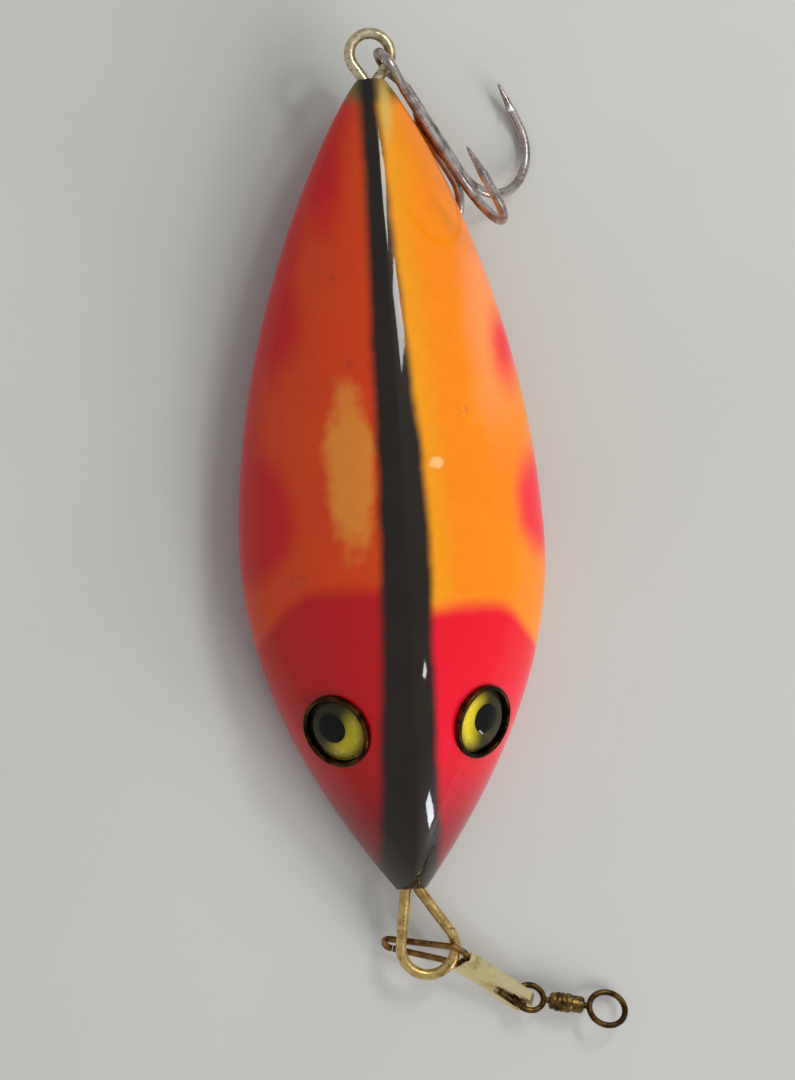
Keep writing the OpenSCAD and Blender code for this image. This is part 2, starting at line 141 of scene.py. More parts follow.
def eye_frame(left):
    a = math.pi - EYE_ANGLE if left else EYE_ANGLE
    s = np.array(EYE_AT)
    e = 0.01
    spot = back_point(s, np.array(a))
    across = back_point(s, np.array(a + e)) - back_point(s, np.array(a - e))
    along = back_point(s - e / 2, np.array(a)) - back_point(s + e / 2, np.array(a))
    n = unit(np.cross(across, along))
    turn = math.atan2(n[1], n[0])
    tilt = math.acos(n[2])
    rot = np.array(Matrix.Rotation(turn, 3, "Z") @ Matrix.Rotation(tilt, 3, "Y"))
    return spot, rot


EYES = {"left": eye_frame(True), "right": eye_frame(False)}


# ---------------------------------------------------------------- node helpers
class Nodes:
    """A small builder for a procedural material."""

    def __init__(self, name):
        self.material = bpy.data.materials.new(name)
        self.material.use_nodes = True
        self.tree = self.material.node_tree
        self.tree.nodes.clear()
        self.out = self.node("ShaderNodeOutputMaterial")
        self.place = self.node("ShaderNodeTexCoord").outputs["Object"]

    def node(self, kind, **settings):
        n = self.tree.nodes.new(kind)
        for key, value in settings.items():
            setattr(n, key, value)
        return n

    def link(self, value, socket):
        if isinstance(value, bpy.types.NodeSocket):
            self.tree.links.new(value, socket)
        else:
            socket.default_value = value

    def attr(self, name):
        return self.node("ShaderNodeAttribute", attribute_name=name).outputs["Fac"]

    def math(self, op, a, b=0.0, c=0.0):
        n = self.node("ShaderNodeMath", operation=op)
        for value, socket in zip((a, b, c), n.inputs):
            self.link(value, socket)
        return n.outputs[0]

    def noise(self, scale, detail=3.0, rough=0.55, distort=0.0):
        n = self.node("ShaderNodeTexNoise")
        self.link(self.place, n.inputs["Vector"])
        n.inputs["Scale"].default_value = scale
        n.inputs["Detail"].default_value = detail
        n.inputs["Roughness"].default_value = rough
        n.inputs["Distortion"].default_value = distort
        return n.outputs["Fac"]

    def spots(self, scale):
        n = self.node("ShaderNodeTexVoronoi")
        self.link(self.place, n.inputs["Vector"])
        n.inputs["Scale"].default_value = scale
        return n.outputs["Distance"]

    def ramp(self, value, low, high, to_low=0.0, to_high=1.0):
        n = self.node("ShaderNodeMapRange", interpolation_type="SMOOTHSTEP")
        self.link(value, n.inputs["Value"])
        limits = {"From Min": low, "From Max": high, "To Min": to_low, "To Max": to_high}
        for key, v in limits.items():
            n.inputs[key].default_value = v
        return n.outputs["Result"]

    def inside(self, distance, soft, wobble=0.0, scale=300.0):
        """1 where the distance in millimetres is below 0, with a soft, wobbling edge."""
        if wobble:
            shift = self.math("MULTIPLY_ADD", self.noise(scale), 2 * wobble, -wobble)
            distance = self.math("ADD", distance, shift)
        return self.ramp(distance, -soft, soft, 1.0, 0.0)

    def mix(self, fac, a, b):
        n = self.node("ShaderNodeMix", data_type="RGBA")
        self.link(fac, n.inputs[0])
        self.link(a, n.inputs[6])
        self.link(b, n.inputs[7])
        return n.outputs[2]

    def bump(self, value, strength, distance, under=None):
        n = self.node("ShaderNodeBump")
        n.inputs["Strength"].default_value = strength
        n.inputs["Distance"].default_value = distance
        self.link(value, n.inputs["Height"])
        if under is not None:
            self.link(under, n.inputs["Normal"])
        return n.outputs["Normal"]

    def principled(self, **inputs):
        n = self.node("ShaderNodeBsdfPrincipled")
        for key, value in inputs.items():
            self.link(value, n.inputs[key.replace("_", " ")])
        self.tree.links.new(n.outputs[0], self.out.inputs[0])
        return n


def rgb(r, g, b):
    """Linear colour from 0-255 display values."""
    def one(c):
        c /= 255
        return c / 12.92 if c <= 0.04045 else ((c + 0.055) / 1.055) ** 2.4
    return (one(r), one(g), one(b), 1.0)


def paint(name):
    m = Nodes(name)
    # Painted shade and light: the left flank gets a darker, redder copy of the paint (painted
    # shade) and the right flank a lighter, yellower one (painted light); part of the difference is
    # a real redder tone on the left.
    side = m.ramp(m.attr("side"), -1.5, 1.5)
    left = m.mix(m.noise(120, 2), rgb(216, 50, 0), rgb(224, 72, 0))
    right = m.mix(m.noise(110, 2), rgb(240, 120, 0), rgb(244, 140, 0))
    color = m.mix(side, left, right)
    near = m.inside(m.attr("d_yellow"), 1.8, 0.5, 160)
    color = m.mix(m.math("MULTIPLY", near, 0.55), color, rgb(232, 164, 0))
    # Painted reflection: a lighter orange patch on the left flank stands in for a window reflection
    # in the gloss.
    painted_reflection = m.inside(m.attr("d_painted_reflection"), 0.6, 0.9, 420)
    color = m.mix(m.math("MULTIPLY", painted_reflection, 0.55), color, rgb(240, 170, 60))
    # Painted sheen: a pale pink patch on the rear right flank stands in for a reflection of the
    # bright surroundings.
    painted_sheen = m.inside(m.attr("d_painted_sheen"), 1.4, 0.6, 150)
    color = m.mix(m.math("MULTIPLY", painted_sheen, 0.6), color, rgb(255, 150, 96))
    red = m.inside(m.attr("d_red"), 1.15, 0.7, 170)
    # Painted shade: the red spots on the left flank are a darker copy than on the lit right flank.
    color = m.mix(red, color, m.mix(side, rgb(206, 2, 2), rgb(236, 30, 50)))
    tail = m.inside(m.attr("d_tail"), 1.0, 0.5, 300)
    color = m.mix(tail, color, rgb(124, 98, 38))
    # Painted highlight: a pale tan streak on the ridge near the tail stands in for a reflection of
    # the light.
    strip = m.inside(m.attr("d_strip"), 0.35, 0.15, 400)
    color = m.mix(m.math("MULTIPLY", strip, 0.8), color, rgb(214, 176, 88))
    # Painted shade: the head red is darker on the shaded left side than on the lit right side.
    head_red = m.mix(side, rgb(192, 0, 2), rgb(226, 0, 36))
    low = m.inside(m.attr("d_nose"), 6.0)
    head_red = m.mix(m.math("MULTIPLY", low, 0.9), head_red, rgb(112, 0, 12))
    head = m.inside(m.attr("d_head"), 1.0, 0.7, 150)
    color = m.mix(head, color, head_red)
    mottle = m.ramp(m.noise(900, 4), 0.35, 0.75)
    color = m.mix(m.math("MULTIPLY", mottle, 0.06), color, rgb(120, 30, 0))
    dark = m.mix(m.noise(260, 3), rgb(16, 8, 3), rgb(38, 25, 9))
    color = m.mix(m.inside(m.attr("d_stripe"), 0.55, 0.28, 330), color, dark)
    speck = m.inside(m.attr("d_speck"), 0.12, 0.25, 1100)
    color = m.mix(m.math("MULTIPLY", speck, 0.6), color, rgb(246, 200, 140))
    pit = m.inside(m.attr("d_pit"), 0.18)
    color = m.mix(m.math("MULTIPLY", pit, 0.45), color, rgb(150, 60, 30))
    wear = m.ramp(m.noise(700, 5, 0.7), 0.66, 0.72)
    edge = m.math("MULTIPLY", m.inside(m.attr("d_edge"), 0.25, 0.2, 900), wear)
    color = m.mix(edge, color, rgb(232, 214, 180))
    dust = m.ramp(m.spots(900), 0.06, 0.02)
    skin = m.bump(m.noise(420, 2), 0.25, 0.00005)
    skin = m.bump(m.math("MULTIPLY", pit, -1.0), 0.9, 0.00012, skin)
    grain = m.bump(m.noise(2600, 3), 0.12, 0.00002)
    rough = m.math("MULTIPLY_ADD", m.noise(300, 4), 0.18, 0.3)
    shader = m.principled(
        Base_Color=color, Roughness=rough, Normal=grain, Coat_Normal=skin,
        Coat_Weight=1.0, Coat_Roughness=0.05, Coat_IOR=1.38, Specular_IOR_Level=0.1,
    )
    m.link(m.math("MULTIPLY_ADD", dust, 0.12, rough), shader.inputs["Roughness"])
    return m.material


def metal(name, light, dark, tarnish=0.5, rough=(0.18, 0.42), scale=900, stain=None):
    m = Nodes(name)
    cloud = m.ramp(m.noise(scale, 5, 0.65), tarnish - 0.14, tarnish + 0.14)
    color = m.mix(cloud, light, dark)
    if stain:
        color = m.mix(m.ramp(m.noise(scale * 2.7, 4, 0.7), 0.56, 0.68), color, stain)
    lines = m.noise(scale * 4, 4, 0.7)
    r = m.math("MULTIPLY_ADD", m.noise(scale * 1.6, 4), rough[1] - rough[0], rough[0])
    m.principled(
        Base_Color=color, Metallic=1.0, Roughness=r,
        Normal=m.bump(lines, 0.25, 0.00003, m.bump(cloud, 0.3, 0.00003)),
    )
    return m.material


def plastic(name, light, dark, rough=0.25, scale=700):
    m = Nodes(name)
    color = m.mix(m.noise(scale, 4), light, dark)
    m.principled(
        Base_Color=color, Roughness=m.math("MULTIPLY_ADD", m.noise(scale, 3), 0.15, rough),
        Normal=m.bump(m.noise(scale * 3, 3), 0.15, 0.00002), Specular_IOR_Level=0.04,
    )
    return m.material


def iris_material():
    m = Nodes("eye_iris_yellow")
    rim = m.ramp(m.attr("radius"), 0.62, 1.0)
    rays = m.node("ShaderNodeTexNoise", noise_dimensions="1D")
    m.link(m.math("MULTIPLY", m.attr("angle"), 26.0), rays.inputs["W"])
    ray = m.ramp(rays.outputs["Fac"], 0.3, 0.75)
    color = m.mix(ray, rgb(244, 222, 50), rgb(222, 188, 24))
    color = m.mix(m.math("MULTIPLY", rim, 0.85), color, rgb(92, 60, 12))
    fleck = m.ramp(m.noise(1600, 4), 0.55, 0.7)
    color = m.mix(m.math("MULTIPLY", fleck, 0.4), color, rgb(250, 240, 150))
    # Painted shade: each iris is darkened to near black towards one side, standing in for shade
    # inside the eye.
    dark = m.ramp(m.attr("dark"), -0.45, 0.25)
    color = m.mix(m.math("MULTIPLY", dark, 0.96), color, rgb(16, 9, 3))
    m.principled(
        Base_Color=color, Specular_IOR_Level=0.15, Roughness=0.32, Normal=m.bump(ray, 0.5, 0.00005),
    )
    return m.material


def dome_material():
    m = Nodes("eye_dome_clear")
    clear = m.node("ShaderNodeBsdfTransparent")
    tint = m.mix(m.noise(300, 2), (0.97, 0.98, 0.97, 1), (0.93, 0.94, 0.90, 1))
    m.link(tint, clear.inputs["Color"])
    gloss = m.node("ShaderNodeBsdfGlossy")
    gloss.inputs["Roughness"].default_value = 0.03
    gloss.inputs["Color"].default_value = (1, 1, 1, 1)
    m.link(m.bump(m.noise(900, 3), 0.06, 0.00002), gloss.inputs["Normal"])
    edge = m.node("ShaderNodeLayerWeight")
    edge.inputs["Blend"].default_value = 0.5
    blend = m.node("ShaderNodeMixShader")
    grazing = m.math("POWER", edge.outputs["Facing"], 4.0)
    m.link(m.math("MULTIPLY_ADD", grazing, 0.4, 0.015), blend.inputs[0])
    m.tree.links.new(clear.outputs[0], blend.inputs[1])
    m.tree.links.new(gloss.outputs[0], blend.inputs[2])
    m.tree.links.new(blend.outputs[0], m.out.inputs[0])
    return m.material


BACK = paint("back_paint")
UNDER = paint("belly_paint")
BRASS = metal(
    "brass_loop", rgb(236, 200, 128), rgb(182, 140, 78), 0.56, (0.22, 0.4), 700,
    rgb(104, 70, 34),
)
TAIL_WIRE = metal(
    "tail_wire", rgb(232, 214, 178), rgb(170, 146, 108), 0.54, (0.24, 0.42), 700,
    rgb(96, 74, 48),
)
SNAP = metal(
    "snap_brass", rgb(166, 124, 72), rgb(92, 60, 34), 0.5, (0.24, 0.5), 900, rgb(34, 20, 10),
)
PLATE = metal("plate_brass", rgb(244, 226, 172), rgb(206, 174, 108), 0.6, (0.3, 0.48), 500)
DARK = metal(
    "swivel_dark", rgb(128, 96, 50), rgb(62, 42, 22), 0.47, (0.24, 0.5), 1000, rgb(30, 20, 10),
)
BARREL = metal(
    "barrel_dark", rgb(150, 116, 64), rgb(60, 42, 24), 0.48, (0.2, 0.46), 1100, rgb(26, 18, 10),
)
STEEL = metal(
    "hook_steel", rgb(206, 194, 188), rgb(138, 122, 116), 0.54, (0.22, 0.4), 600,
    rgb(120, 88, 64),
)
BRAZE = metal(
    "braze", rgb(150, 140, 128), rgb(84, 74, 64), 0.5, (0.3, 0.5), 1200, rgb(60, 48, 34),
)
BALLAST = metal("ballast", rgb(120, 122, 126), rgb(84, 86, 90), 0.5, (0.4, 0.6), 300)
CUP = metal("eye_cup", rgb(104, 70, 30), rgb(34, 22, 10), 0.45, (0.2, 0.4), 600, rgb(18, 12, 6))
PUPIL = plastic("eye_pupil", rgb(6, 6, 6), rgb(16, 15, 14), 0.12)
IRIS = iris_material()
DOME = dome_material()


# ---------------------------------------------------------------- body shells
def ellipse(x, y, cx, cy, rx, ry):
    """Rough distance in millimetres to an ellipse, below 0 inside it."""
    r = np.sqrt(((x - cx) / rx) ** 2 + ((y - cy) / ry) ** 2)
    return (r - 1) * min(rx, ry)


def marks(points, belly=False):
    x, y = points[:, 0], points[:, 1]
    s = y / LENGTH
    # Half width and middle of the ridge stripe, along the body.
    width = np.interp(
        y, [0, 8, 14, 23, 30, 36, 48, 60, 69, 73],
        [2.8, 2.6, 2.5, 2.25, 2.25, 2.1, 1.65, 1.1, 0.8, 0.7],
    )
    middle = np.interp(
        y, [0, 12, 23, 30, 36, 48, 60, 73],
        [-0.2, -0.45, -0.25, 0.05, 0.05, -0.25, -0.45, -0.5],
    )
    far = np.full(len(x), 50.0)
    # The side value splits the left flank, painted in shade, from the right flank, painted in
    # light; it also carries a real paint difference.
    side = np.where(belly, np.sign(x) * 0.2 + x * 0.05, x + 0.5)
    head_y = np.where(x < 0, 27.6, 25.6) - 0.17 * np.clip(np.abs(x) - 7.5, 0, 9) ** 2
    red = np.minimum.reduce([
        ellipse(x, y, -14.0, 34.6, 4.6, 6.4), ellipse(x, y, -10.6, 53.0, 2.6, 6.0),
        ellipse(x, y, -5.4, 65.6, 2.2, 5.6), ellipse(x, y, 14.4, 34.6, 3.2, 4.8),
        ellipse(x, y, 10.9, 49.0, 1.2, 3.0),
    ])
    edge = np.minimum(np.abs(np.abs(x) - body_half(s)), 50)
    band = np.interp(y, [24, 30, 38, 44, 52, 60, 66, 73], [-3, 0.6, 1.8, 0.6, 1.9, 1.2, 1.6, 0.4])
    red = np.where(x < 0, np.minimum(red, edge - band), red)
    out = {
        "side": side,
        "d_stripe": far if belly else np.abs(x - middle) - width,
        "d_yellow": far if belly else np.where(x > 0, np.abs(x - middle) - width - 1.5, far),
        "d_head": y - head_y,
        "d_nose": y - 9.0,
        "d_red": red,
        # painted reflection patch on the left flank
        "d_painted_reflection": far if belly else ellipse(x, y, -4.3, 38.2, 2.0, 6.6),
        # painted sheen patch on the rear right flank
        "d_painted_sheen": far if belly else ellipse(x, y, 9.2, 54.0, 2.0, 11.0),
        "d_tail": 70.6 - y + 0.25 * np.abs(x),
        # painted highlight streak on the ridge near the tail
        "d_strip": far if belly else ellipse(x, y, 1.0, 70.2, 0.55, 2.6),
        "d_speck": far if belly else ellipse(x, y, 3.3, 38.4, 0.75, 0.5),
        "d_pit": far if belly else np.minimum.reduce([
            np.abs(ellipse(x, y, -9.3, 28.6, 0.6, 0.5)) - 0.1,
            ellipse(x, y, -4.7, 55.2, 0.28, 0.28),
            ellipse(x, y, -3.8, 47.5, 0.3, 0.3), ellipse(x, y, 6.4, 43.0, 0.2, 0.2),
            ellipse(x, y, -8.2, 44.5, 0.18, 0.18),
        ]),
        "d_edge": edge,
    }
    return out


def shell(name, surface, material, stands_for, belly):
    rows, spokes = (420, 150) if not belly else (300, 96)
    t = np.linspace(0, 1, rows + 1)
    s = (1 - np.cos(np.pi * t)) / 2 * 0.35 + t * 0.65
    k = np.linspace(0, 1, spokes + 1)
    a = math.pi * k
    grid = np.array([surface(np.full_like(a, v), a) for v in s])
    if not belly:
        # The flank sinks inside each eye's cup, so that the cup is open.
        for spot, rot in EYES.values():
            local = (grid - spot) @ rot
            r = np.hypot(local[..., 0], local[..., 1])
            sink = (r < 3.15) & (np.abs(local[..., 2]) < 4)
            grid[sink] -= rot[:, 2] * (local[sink][:, 2:3] + SOCKET + 0.35)
    row = spokes + 1
    points = grid.reshape(-1, 3)
    faces = [
        (i * row + j, i * row + j + 1, (i + 1) * row + j + 1, (i + 1) * row + j)
        for i in range(rows) for j in range(spokes)
    ]
    # Flat underside along the parting face, and the two ends.
    faces += [
        (i * row, (i + 1) * row, (i + 1) * row + spokes, i * row + spokes) for i in range(rows)
    ]
    faces.append(tuple(range(spokes, -1, -1)))
    faces.append(tuple(rows * row + j for j in range(spokes + 1)))
    if belly:
        faces = [f[::-1] for f in faces]
    return add(name, points, faces, material, "body", stands_for, 35, marks(points, belly))


shell("painted_back", back_point, BACK, ["back_shell"], False)
shell("painted_belly", belly_point, UNDER, ["belly_shell"], True)


# ---------------------------------------------------------------- lathe and tube
def lathe(profile, segments=96):
    """Turns (radius, z) points round Z. The first and last lie on the axis or close the shape."""
    verts, faces = [], []
    for i in range(segments):
        a = 2 * math.pi * i / segments
        verts += [(r * math.cos(a), r * math.sin(a), z) for r, z in profile]
    n = len(profile)
    for i in range(segments):
        b, c = i * n, (i + 1) % segments * n
        faces += [(b + k, c + k, c + k + 1, b + k + 1) for k in range(n - 1)]
    return np.array(verts), faces


def rounded_profile(points, radius, steps=5):
    """Rounds the corners of an open profile, in which no point may follow itself."""
    out = [points[0]]
    for a, b, c in zip(points, points[1:], points[2:]):
        a, b, c = map(np.array, (a, b, c))
        r = min(radius, np.linalg.norm(a - b) * 0.45, np.linalg.norm(c - b) * 0.45)
        p, q = b + unit(a - b) * r, b + unit(c - b) * r
        for i in range(steps + 1):
            t = i / steps
            out.append(tuple((1 - t) ** 2 * p + 2 * t * (1 - t) * b + t * t * q))
    out.append(points[-1])
    return out


def tube(path, radii, normals, burrs=None, sides=20):
    path = np.asarray(path, float)
    n = len(path)
    radii = np.broadcast_to(np.asarray(radii, float), (n,))
    normals = np.broadcast_to(np.asarray(normals, float), (n, 3))
    burrs = np.zeros(n) if burrs is None else np.asarray(burrs, float)
    along = np.array([unit(path[min(i + 1, n - 1)] - path[max(i - 1, 0)]) for i in range(n)])
    across = np.cross(normals, along)
    across /= np.linalg.norm(across, axis=1)[:, None]
    up = np.cross(along, across)
    verts = []
    for k in range(sides):
        a = 2 * math.pi * k / sides
        peak = max(0.0, math.cos(a)) ** 6
        out = radii * math.cos(a) + burrs * peak
        verts.append(path + across * out[:, None] + up * (radii * math.sin(a))[:, None])
    verts = np.stack(verts, 1).reshape(-1, 3)
    faces = [
        (
            i * sides + k, i * sides + (k + 1) % sides,
            (i + 1) * sides + (k + 1) % sides, (i + 1) * sides + k,
        )
        for i in range(n - 1) for k in range(sides)
    ]
    faces.append(tuple(range(sides - 1, -1, -1)))
    faces.append(tuple((n - 1) * sides + k for k in range(sides)))
    return verts, faces


def merge(*parts):
    verts, faces, start = [], [], 0
    for v, f in parts:
        verts.append(np.asarray(v))
        faces += [tuple(i + start for i in g) for g in f]
        start += len(v)
    return np.vstack(verts), faces


def corner(a, b, c, r, steps=10):
    a, b, c = (np.asarray(p, float) for p in (a, b, c))
    u, v = unit(a - b), unit(c - b)
    turn = math.pi - math.acos(float(np.clip(u @ v, -1, 1)))
    p, q = b + u * r * math.tan(turn / 2), b + v * r * math.tan(turn / 2)
    m = b + unit(u + v) * r / math.cos(turn / 2)
    return [m + r * unit((p - m) * (1 - i / steps) + (q - m) * i / steps) for i in range(steps + 1)]


def rounded(points, r):
    out = [np.asarray(points[0], float)]
    for a, b, c in zip(points, points[1:], points[2:]):
        out += corner(a, b, c, r)
    return out + [np.asarray(points[-1], float)]


def ring_points(center, ring, start, sweep, steps):
    angles = [start + sweep * i / steps for i in range(steps + 1)]
    return [
        np.array([center[0] + ring * math.cos(a), center[1] + ring * math.sin(a)])
        for a in angles
    ]


def flat(path, z=0.0):
    return np.array([[p[0], p[1], z] for p in path])


# ---------------------------------------------------------------- eyes
def eye(side_name):
    spot, rot = EYES[side_name]
    sign = 1 if side_name == "left" else -1

    def put(v):
        return np.asarray(v) @ rot.T + spot

    cup_profile = rounded_profile([
        (0, -SOCKET + 0.02), (EYE_RADIUS - 0.02, -SOCKET + 0.02), (EYE_RADIUS - 0.02, CUP_LIP),
        (EYE_RADIUS - CUP_WALL + 0.02, CUP_LIP), (EYE_RADIUS - CUP_WALL + 0.02, -0.5), (0, -0.5),
    ], 0.2)
    v, f = lathe(cup_profile)
    add(f"{side_name}_cup", put(v), f, CUP, "body", [f"{side_name}_eye_cup"])
    rings, spokes = 14, 120
    verts, faces, radius, angle, dark = [(0, 0, IRIS_FACE)], [], [0.0], [0.0], [0.0]
    # Painted shade: the dark value grows towards a set direction on each iris, for shade inside the
    # eye.
    toward = math.radians(150 if side_name == "left" else -12)
    for i in range(1, rings + 1):
        for k in range(spokes):
            a = 2 * math.pi * k / spokes
            out = IRIS_R * i / rings
            verts.append((out * math.cos(a), out * math.sin(a), IRIS_FACE))
            radius.append(i / rings)
            angle.append(abs(k / spokes - 0.5) * 2)
            flat_at = rot @ np.array([math.cos(a), math.sin(a), 0])
            dark.append(i / rings * (flat_at[0] * math.cos(toward) + flat_at[1] * math.sin(toward)))
    faces += [(0, 1 + k, 1 + (k + 1) % spokes) for k in range(spokes)]
    for i in range(rings - 1):
        b = 1 + i * spokes
        faces += [
            (b + k, b + spokes + k, b + spokes + (k + 1) % spokes, b + (k + 1) % spokes)
            for k in range(spokes)
        ]
    add(
        f"{side_name}_iris", put(verts), faces, IRIS, "body", [f"{side_name}_eye_iris"],
        attributes={"radius": radius, "angle": angle, "dark": dark},
    )
    v, f = lathe(rounded_profile([(0, -0.24), (1.35, -0.24), (1.35, -0.11), (0, -0.11)], 0.05))
    v = v + np.array([0.5, -sign * 0.35, 0])
    add(f"{side_name}_pupil", put(v), f, PUPIL, "body", [f"{side_name}_eye_pupil"])
    base, apex, r = -0.095, 1.0, IRIS_R
    rise = apex - base
    ball = (r * r + rise * rise) / (2 * rise)
    reach = math.asin(r / ball)
    arc = [(ball * math.sin(reach * (1 - t)), apex - ball + ball * math.cos(reach * (1 - t)))
           for t in np.linspace(0, 1, 28)]
    v, f = lathe(arc[:-1] + [(0, apex)])
    add(f"{side_name}_dome", put(v), f, DOME, "body", [f"{side_name}_eye_dome"])


eye("left")
eye("right")

# ---------------------------------------------------------------- wire loops
NOSE_C, TAIL_C = np.array([1.2, -5.5]), np.array([0.1, LENGTH + 2.35])
NOSE_RING, TAIL_RING, LOOP_R = 2.5, 1.85, 0.5
NOSE_Z, TAIL_Z = float(edge_z(np.array(0.0))), float(edge_z(np.array(1.0)))


def loop_path(center, ring, leave, inward):
    left, right = np.array([-inward * 0.55, leave]), np.array([inward * 0.55, leave])

    def toward(p):
        d = p - center
        return math.atan2(d[1], d[0])

    start = toward(left) + math.acos(ring / np.linalg.norm(left - center))
    end = toward(right) - math.acos(ring / np.linalg.norm(right - center)) + 2 * math.pi
    sweep = (end - start) % (2 * math.pi)
    deep, lock = np.array([0, inward * 6.0]), np.array([inward * 1.3, 0])
    ring_start, ring_end = ring_points(center, ring, start, sweep, 1)
    return (
        [left + deep - lock] + corner(left + deep - lock, left + deep, left, 0.7)
        + corner(left + deep, left, ring_start, 0.7)
        + ring_points(center, ring, start, sweep, 110)
        + corner(ring_end, right, right + deep, 0.7)
        + corner(right, right + deep, right + deep + lock, 0.7) + [right + deep + lock]
    )


UP = (0, 0, 1)
v, f = tube(flat(loop_path(NOSE_C, NOSE_RING, 0, 1), NOSE_Z), LOOP_R, UP, sides=28)
add("line_tie", v, f, BRASS, "body", ["line_tie_loop"])
v, f = tube(flat(loop_path(TAIL_C, TAIL_RING, LENGTH, -1), TAIL_Z), LOOP_R, UP, sides=28)
add("tail_ring", v, f, TAIL_WIRE, "body", ["tail_loop"])


# ---------------------------------------------------------------- frames
def turn(axis, degrees):
    return np.array(Matrix.Rotation(math.radians(degrees), 3, axis))


SNAP_AT = np.array([
    NOSE_C[0] + NOSE_RING * math.cos(math.radians(-20)),
    NOSE_C[1] + NOSE_RING * math.sin(math.radians(-20)), NOSE_Z,
])
SNAP_ROT = turn("Z", -38) @ turn("Y", 13) @ turn("X", 50)


def in_snap(v):
    return np.asarray(v, float) @ SNAP_ROT.T + SNAP_AT


SWIVEL_AT = in_snap([7.45, 0, 0])
SWIVEL_ROT = turn("Z", -12.5) @ turn("X", -37)


def in_swivel(v):
    return np.asarray(v, float) @ SWIVEL_ROT.T + SWIVEL_AT


TREBLE_ROT = turn("Z", -57.5) @ turn("Y", 14)
TREBLE_AT = np.array([
    TAIL_C[0] + TAIL_RING * math.cos(math.radians(-36)),
    TAIL_C[1] + TAIL_RING * math.sin(math.radians(-36)), TAIL_Z,
]) + TREBLE_ROT @ np.array([0.1, 0, 0])


def in_treble(v):
    return np.asarray(v, float) @ TREBLE_ROT.T + TREBLE_AT


# ---------------------------------------------------------------- snap
SNAP_WIRE, REAR_X, REAR_HALF, LATCH_GAP = 0.3, 8.35, 0.68, 0.1
front = math.radians(34.5)
along = np.array([math.cos(front), math.sin(front)])
across = np.array([-math.sin(front), math.cos(front)])
FRONT = np.array([-5.0, -4.3])
upper, lower = FRONT + 0.65 * across, FRONT - 0.65 * across
latch_from = lower + 0.75 * along
elbow = np.array([0.6, -1.05])
snap_path = rounded([
    (6.2, -REAR_HALF), (REAR_X, -REAR_HALF), (REAR_X, REAR_HALF), (1.0, REAR_HALF),
    (0.4, 1.12), (-0.75, 0.95), upper, lower, latch_from,
], 0.6)
latch_start = latch_from + LATCH_GAP * unit(elbow - latch_from)
latch_path = rounded([latch_start, elbow, (1.7, -0.85), (3.4, -0.45)], 0.6)
v, f = tube(flat(snap_path), SNAP_WIRE, UP, sides=20)
add("snap_hairpin", in_snap(v), f, SNAP, "snap", ["snap_wire"])
v, f = tube(flat(latch_path), SNAP_WIRE, UP, sides=20)
add("snap_arm", in_snap(v), f, SNAP, "latch", ["snap_latch"])


# ---------------------------------------------------------------- swivel
def torus(center, ring, r, steps=72, sides=20):
    verts, faces = [], []
    for i in range(steps):
        a = 2 * math.pi * i / steps
        for k in range(sides):
            b = 2 * math.pi * k / sides
            d = ring + r * math.cos(b)
            verts.append((center + d * math.cos(a), d * math.sin(a), r * math.sin(b)))
    for i in range(steps):
        for k in range(sides):
            faces.append((
                i * sides + k, (i + 1) % steps * sides + k,
                (i + 1) % steps * sides + (k + 1) % sides, i * sides + (k + 1) % sides,
            ))
    return np.array(verts), faces


def turned(profile, segments=64):
    """A lathe round X, from (radius, x) points."""
    v, f = lathe(profile, segments)
    return v[:, [2, 0, 1]], f


INNER_RING, LEADER_RING, RING_WIRE, NECK = 1.3, 1.7, 0.28, 0.3
BARREL_FROM = 2 * INNER_RING + RING_WIRE + NECK
BARREL_TO = BARREL_FROM + 3.2
LEADER_AT = BARREL_TO + NECK + RING_WIRE + LEADER_RING
v, f = merge(
    torus(INNER_RING, INNER_RING, RING_WIRE),
    turned(rounded_profile([
        (0, 2.55), (0.3, 2.6), (0.3, BARREL_FROM + 0.4), (0.5, BARREL_FROM + 0.4),
        (0.5, BARREL_FROM + 0.75), (0, BARREL_FROM + 0.75),
    ], 0.06)),
)
add("swivel_inner_ring", in_swivel(v), f, DARK, "swivel_head", ["swivel_inner_eye"])
v, f = merge(
    torus(LEADER_AT, LEADER_RING, RING_WIRE),
    turned(rounded_profile([
        (0, BARREL_TO - 0.75), (0.5, BARREL_TO - 0.75), (0.5, BARREL_TO - 0.4),
        (0.3, BARREL_TO - 0.4), (0.3, BARREL_TO + 0.36), (0, BARREL_TO + 0.4),
    ], 0.06)),
)
add("swivel_outer_ring", in_swivel(v), f, DARK, "leader_ring", ["swivel_outer_eye"])
b = BARREL_FROM
outline = [(0.35, 0.0), (0.62, 0.0), (0.78, 0.16), (0.78, 0.5), (0.9, 0.66)]
for x in (0.9, 1.3):
    outline += [(0.9, x), (0.82, x + 0.06), (0.82, x + 0.14), (0.9, x + 0.2)]
outline += [
    (0.9, 1.9), (0.78, 2.05), (0.78, 3.05), (0.62, 3.2), (0.35, 3.2),
    (0.35, 2.86), (0.6, 2.84), (0.6, 0.36), (0.35, 0.34), (0.35, 0.0),
]
v, f = turned(rounded_profile([(r, x + b) for r, x in outline], 0.05, 3))
add("barrel_body", in_swivel(v), f, BARREL, "barrel", ["swivel_barrel"])

# ---------------------------------------------------------------- treble
WIRE, HOOK_L, BEND, POINT, HOOK_EYE = 0.43, 16.2, 4.6, 4.4, 1.5
BUNDLE, SHANK_FROM, THIRD_DROP = 1.18 * 0.43, 2.6, 2.2
ROLL_UP, ROLL_RIGHT, ROLL_THIRD = 90, -30, -150
SHANK_TO = HOOK_L - BEND
TOP = np.array([SHANK_TO, BUNDLE + BEND])
SWEEP = math.radians(172)
bend = ring_points(TOP, BEND, -math.pi / 2, SWEEP, 70)
leg_along = np.array([math.cos(SWEEP), math.sin(SWEEP)])
